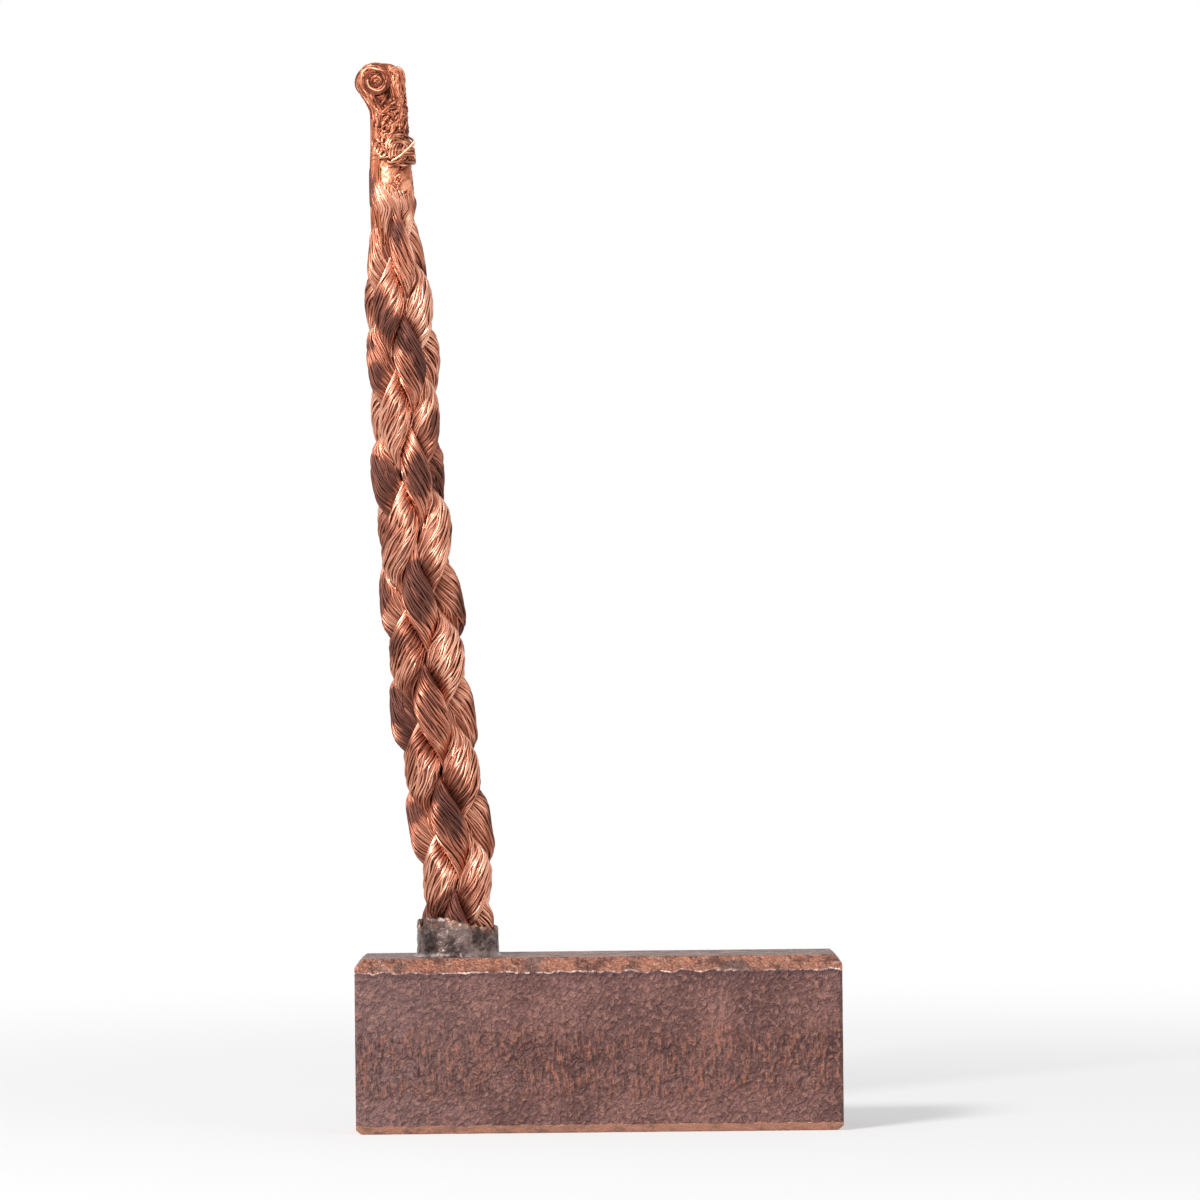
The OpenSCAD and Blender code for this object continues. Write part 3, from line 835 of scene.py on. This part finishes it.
# %% Worn bevels
LONG_TOP, LONG_FOOT, END_TOP, END_FOOT, CORNER = 0.65, 0.42, 0.42, 0.25, 0.14

def wear(amount, seed, size, *places):
    """Between nothing and twice the amount, in patches about size across."""
    return amount * (1 + ripple(seed, size, *places))

def bevel(points, axis_a, sign_a, axis_b, sign_b, reach):
    """Moves points past a bevel back onto it. reach is how far the bevel cuts along both
    faces from the edge where they would meet, at each point."""
    p = points - [0, 0, BLOCK_H / 2]
    limit = SIZE[axis_a] / 2 + SIZE[axis_b] / 2 - reach
    past = np.maximum(0, (sign_a * p[:, axis_a] + sign_b * p[:, axis_b] - limit) / 2)
    points[:, axis_a] -= sign_a * past
    points[:, axis_b] -= sign_b * past

x, y, z = block_points.T.copy()
own = 9 * np.sign(y)  # the two sides are worn differently
upper_wear = wear(0.04, 41, 1.3, x, own) + wear(0.02, 42, 0.3, x, own)
lower_wear = wear(0.03, 43, 1.9, x, own) + wear(0.01, 44, 0.4, x, own)
end_wear = wear(0.02, 45, 0.8, x, y, z)
for sign in (-1, 1):
    bevel(block_points, 1, sign, 2, 1, LONG_TOP + upper_wear)
    bevel(block_points, 1, sign, 2, -1, LONG_FOOT + lower_wear)
    bevel(block_points, 0, sign, 2, 1, END_TOP + end_wear)
    bevel(block_points, 0, sign, 2, -1, END_FOOT + end_wear)
    for other in (-1, 1):
        bevel(block_points, 0, sign, 1, other, CORNER + end_wear)
x, y, z = block_points.T
block_marks = {
    "below_edge": BLOCK_H - LONG_TOP - upper_wear - z,
    "inside_edge": BLOCK_W / 2 - LONG_TOP - upper_wear - np.abs(y),
    "above_foot": z - LONG_FOOT - lower_wear,
}
print("upper edges worn by up to", upper_wear.max())

# %% [markdown]
# The boss is the collar that the powder makes round the pigtail's root. It is a profile
# carried round a circle. Its rim is ragged, because the powder broke away there when the
# pressing tool drew back, and at the front left a crust of powder stands up from it.

# %% Boss round the root
BOSS_SIDES = 240
CRUST_H, CRUST_AT, CRUST_W = 0.32, 248, 34
profile = np.array(  # across from the boss's wall, and up from the block
    [[0.24, -0.05], [0.15, 0.01], [0.06, 0.06], [0.01, 0.16]]
    + [[0, h] for h in np.linspace(0.26, 1.76, 26)]
    + [[-0.03, 1.85], [-0.08, 1.9], [-0.13, 1.88], [-0.16, 1.75]]
    + [[-0.2, h] for h in np.linspace(1.6, 0.6, 6)] + [[-1.2, 0.5], [-2.0, 0.5]])
around = 2 * np.pi * np.arange(BOSS_SIDES)[None, :] / BOSS_SIDES
px, py = BOSS_R * np.cos(around), BOSS_R * np.sin(around)
level = profile[:, 1:]
fall = BOSS_FALL * (1 + np.cos(around)) / 2
ragged = (0.18 * np.maximum(0, ripple(51, 1.5, px, py))
          + 0.07 * np.maximum(0, ripple(52, 0.45, px, py)))
crust = (CRUST_H * np.exp(-((np.degrees(around) - CRUST_AT) / CRUST_W) ** 2)
         * (1 + 0.25 * ripple(55, 0.9, px, py)))
boss_h = level - (fall + ragged) * rise(0.2, 1.9, level) + crust * rise(1.0, 1.9, level)
dents = (0.03 * (1 + ripple(53, 0.45, px, py, boss_h)) / 2
         + 0.03 * np.maximum(0, ripple(54, 1.1, px, py, boss_h)))
boss_r = BOSS_R + profile[:, :1] - dents * (level > 0.2)
boss_points = np.stack([BOSS_X + boss_r * np.cos(around), boss_r * np.sin(around),
                        BLOCK_H + boss_h], -1)
boss_squares, boss_ends = tube_faces(len(profile), BOSS_SIDES)
print("boss up to", boss_points[..., 2].max())

# %% [markdown]
# ## Material of the block
# Pressed powder is brown where the graphite shows and pink where the copper does. Noises
# of several sizes give it clouds, crumbs and dust, and a stretched one the upright streaks
# that the tool drew.

# %% Colours of the powder
powder, place, shader = new_material("copper_graphite")
xyz = place.node("ShaderNodeSeparateXYZ", Vector=place)
height_mm = Socket(place.tree, xyz.outputs["Z"]) * 1000.0
along_mm = Socket(place.tree, xyz.outputs["X"]) * 1000.0

clouds = noise(place, 3.4, 3, 0.55)
crumbs = noise(place, 0.27, 2, 0.5, distortion=0.6)
leaning = place.of("ShaderNodeVectorRotate", {"rotation_type": "Y_AXIS"}, Vector=place, Angle=0.9)
slant = noise(leaning, 0.2, 2, 0.5, stretch=(3, 1, 1))
dust = noise(place, 0.16, 3, 0.65)
streaks = noise(place, 0.15, 3, 0.6, stretch=(1, 1, 4))
band_foot = (height_mm + clouds * 2.0).ramp(2.4, 3.6)
band = band_foot * (1.0 - (height_mm - clouds * 2.0).ramp(3.4, 5.4))
streaky = band * noise(place, 0.9, 3, 0.6).ramp(0.36, 0.52)

brown = clouds.ramp(0.35, 0.65).mix((0.125, 0.048, 0.042, 1), (0.225, 0.100, 0.086, 1))
brown = along_mm.ramp(-12.0, -3.0, 0.5, 0.0).mix(brown, (0.225, 0.125, 0.12, 1))
brown = crumbs.ramp(0.34, 0.48, 0.45, 0.0).mix(brown, (0.095, 0.036, 0.034, 1))
brown = crumbs.ramp(0.52, 0.64, 0.0, 0.5).mix(brown, (0.40, 0.19, 0.145, 1))
brown = (streaky * streaks.ramp(0.50, 0.66, 0.0, 0.8)).mix(brown, (0.45, 0.17, 0.105, 1))
dark_streak = streaky * (1.0 - streaks.ramp(0.34, 0.46)) * 0.85
brown = dark_streak.mix(brown, (0.07, 0.028, 0.026, 1))
brown = dust.ramp(0.60, 0.74, 0.0, 0.55).mix(brown, (0.46, 0.27, 0.23, 1))
brown = dust.ramp(0.28, 0.40, 0.5, 0.0).mix(brown, (0.055, 0.026, 0.026, 1))
print("nodes so far", len(powder.node_tree.nodes))

# %% [markdown]
# The sloping bevels were rubbed to bare copper, and the sharp edge over each side gets
# short bright dashes, a painted highlight where it would catch the light. The mesh keeps
# its distance from each edge, so these marks follow the worn edges.

# %% Colours of the edges
EDGE_BLUR = 0.03  # half the width over which one face turns to the next
chips = (noise(place, 0.5, 3) - 0.5) * 0.22
below = attribute(place, "below_edge") + chips
inside = attribute(place, "inside_edge") + chips
above = attribute(place, "above_foot") + chips * 0.6

def passed(distance):
    """0 before an edge and 1 past it, with a short blur between."""
    return distance.ramp(-EDGE_BLUR, EDGE_BLUR)

sloped = (1.0 - passed(below)) * (1.0 - passed(inside))
flat_top = (1.0 - passed(below)) * passed(inside)
foot = 1.0 - passed(above)
bare = noise(place, 0.8, 5, 0.7)
copper_bare = bare.ramp(0.36, 0.58).mix((0.15, 0.066, 0.052, 1), (0.44, 0.19, 0.125, 1))
copper_bare = dust.ramp(0.34, 0.50, 0.6, 0.0).mix(copper_bare, (0.17, 0.07, 0.05, 1))
bright_spots = noise(place, 0.42, 3, 0.6).ramp(0.56, 0.68, 0.0, 0.7)
copper_bare = bright_spots.mix(copper_bare, (0.54, 0.32, 0.25, 1))
grey_spots = noise(place, 2.2, 2).ramp(0.58, 0.66) * 0.7
copper_bare = grey_spots.mix(copper_bare, (0.13, 0.085, 0.08, 1))
grey_top = bare.ramp(0.40, 0.62).mix((0.16, 0.085, 0.075, 1), (0.36, 0.22, 0.19, 1))
foot_copper = bare.ramp(0.30, 0.55).mix((0.33, 0.17, 0.125, 1), (0.58, 0.29, 0.20, 1))
colour = sloped.mix(brown, copper_bare)
colour = flat_top.mix(colour, grey_top)
colour = foot.mix(colour, foot_copper)
under = (below.ramp(0.0, 0.06) * (1.0 - below.ramp(0.08, 0.34))) * 0.75
colour = under.mix(colour, (0.085, 0.035, 0.04, 1))
# Painted highlight: short bright dashes along the upper edge.
highlight_dash = (noise(place, 0.42, 4, 0.75, stretch=(1, 12, 12)).ramp(0.40, 0.62)
        * noise(place, 3.5, 2).ramp(0.30, 0.50, 0.35, 1.0))
line = below.ramp(-0.055, -0.01) * (1.0 - below.ramp(0.01, 0.06)) * highlight_dash
colour = line.mix(colour, (0.86, 0.62, 0.54, 1))
print("nodes so far", len(powder.node_tree.nodes))

# %% [markdown]
# The boss is darker and smoother than the block, because the tool pressed it hardest. Its
# rim is broken copper powder, and a pale painted highlight runs round the seam at its foot.

# %% Colours of the boss, and the whole material
smear = noise(place, 1.2, 4, 0.6, stretch=(1, 1, 1.6))
collar = smear.ramp(0.40, 0.56).mix((0.060, 0.041, 0.037, 1), (0.235, 0.165, 0.15, 1))
warm_spots = noise(place, 1.9, 3, 0.5).ramp(0.54, 0.66) * 0.6
collar = warm_spots.mix(collar, (0.20, 0.10, 0.07, 1))
collar = dust.ramp(0.62, 0.72, 0.0, 0.5).mix(collar, (0.45, 0.40, 0.38, 1))
boss = attribute(place, "boss")
rim = attribute(place, "rim")
rim_copper = rim * noise(place, 0.6, 3).ramp(0.44, 0.58)
collar = rim_copper.mix(collar, (0.34, 0.17, 0.12, 1))
rim_grey = rim * noise(place, 0.35, 3).ramp(0.58, 0.68, 0.0, 0.7)
collar = rim_grey.mix(collar, (0.50, 0.42, 0.38, 1))
# Painted highlight: a pale line round the boss's foot.
seam = attribute(place, "seam") * noise(place, 0.9, 3).ramp(0.42, 0.62)
collar = seam.mix(collar, (0.50, 0.42, 0.41, 1))
colour = boss.mix(colour, collar)

relief = crumbs + slant * (1.0 - boss) * 0.5 + dust * 0.35 + streaky * streaks * 1.2
bump = place.of("ShaderNodeBump", Height=relief, Strength=1.0, Distance=boss * -0.00022 + 0.0003)
metal = boss.math("MAXIMUM", boss * 0.75, (sloped + foot + line) * 0.55)
feed(shader, Base_Color=colour, Metallic=metal + 0.15, Normal=bump,
     Roughness=dust.ramp(0.2, 0.8, 0.42, 0.62) - boss * 0.1)
print("nodes in the block's material", len(powder.node_tree.nodes))

# %% The block as one piece
FAR = 9.0  # the boss is far from every edge of the block
count, boss_count = len(block_points), boss_points.size // 3

def on_boss(share):
    """A number that is 0 all over the block and follows share over the boss."""
    share = np.broadcast_to(share, boss_points.shape[:2])
    return np.concatenate([np.zeros(count), share.ravel()])

edge_marks = {key: np.append(marks, [FAR] * boss_count) for key, marks in block_marks.items()}
block = make_object(
    "pressed_block", np.concatenate([block_points, boss_points.reshape(-1, 3)]),
    [block_squares, boss_squares + count, boss_ends + count], powder,
    boss=on_boss(1.0), rim=on_boss(rise(1.35, 1.85, level)),
    seam=on_boss(rise(0.2, 0.05, level)), **edge_marks)
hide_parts("brush_block")

# %% [markdown]
# ## Floor, lamps and world
# The floor is white paper. The camera sees the world behind it as white too, so that the
# brush stands on a clean page with only its own soft shadow. A small lamp from the left
# draws the wires and the bevels, and a broad weak one fills the shadows.

# %% Floor
FLOOR_SIZE = 8  # metres
paper, place, shader = new_material("paper")
tree = paper.node_tree
distance = place.of("ShaderNodeVectorMath", {"operation": "LENGTH"}, output=1, i0=place)
rays = tree.nodes.new("ShaderNodeLightPath")
seen = Socket(tree, rays.outputs["Is Camera Ray"]) + Socket(tree, rays.outputs["Is Glossy Ray"])
white = place.node("ShaderNodeEmission", Color=(1, 1, 1, 1), Strength=1.0)
blend = place.node("ShaderNodeMixShader", Fac=seen * distance.ramp(0.02, 0.12, 0.45, 1.0))
feed(shader, Base_Color=(0.9, 0.9, 0.9, 1), Roughness=0.9, Specular_IOR_Level=0.0)
tree.links.new(shader.outputs[0], blend.inputs[1])
tree.links.new(white.outputs[0], blend.inputs[2])
tree.links.new(blend.outputs[0], tree.nodes["Material Output"].inputs["Surface"])
bpy.ops.mesh.primitive_plane_add(size=FLOOR_SIZE)
floor = bpy.context.object
floor.name = "floor"
floor.data.materials.append(paper)
print("floor", FLOOR_SIZE, "m wide")

# %% Lamps and world
WORLD_LIGHT = 0.38

def lamp(name, at, towards, size, power):
    """A square area lamp, in millimetres, turned towards a point."""
    data = bpy.data.lights.new(name, "AREA")
    data.size, data.energy = size * MM, power
    made = bpy.data.objects.new(name, data)
    at, towards = np.array(at, float), np.array(towards, float)
    made.location = at * MM
    made.rotation_euler = Vector(towards - at).to_track_quat("-Z", "Y").to_euler()
    bpy.context.scene.collection.objects.link(made)
    print("lamp", name, "at", at)

lamp("key", (-180, -220, 230), (0, 0, 25), 90, 1.15)
lamp("fill", (220, -200, 120), (0, 0, 25), 200, 0.12)

world = bpy.data.worlds.new("white")
world.use_nodes = True
tree = world.node_tree
sky = tree.nodes["Background"]
rays = tree.nodes.new("ShaderNodeLightPath")
seen = (Socket(tree, rays.outputs["Is Camera Ray"]) + Socket(tree, rays.outputs["Is Glossy Ray"])
        + Socket(tree, rays.outputs["Is Transmission Ray"]))
sky.inputs["Color"].default_value = (1, 1, 1, 1)
plug(sky.inputs["Strength"], seen.ramp(0, 1, WORLD_LIGHT, 1.0))
bpy.context.scene.world = world

# %% [markdown]
# ## Closing
# A helper gives the two corners of a box as plain lists.

# %% Boxes as plain lists
def plain(value):
    """The two corners of a box as plain lists."""
    return [[float(c) for c in corner] for corner in value]
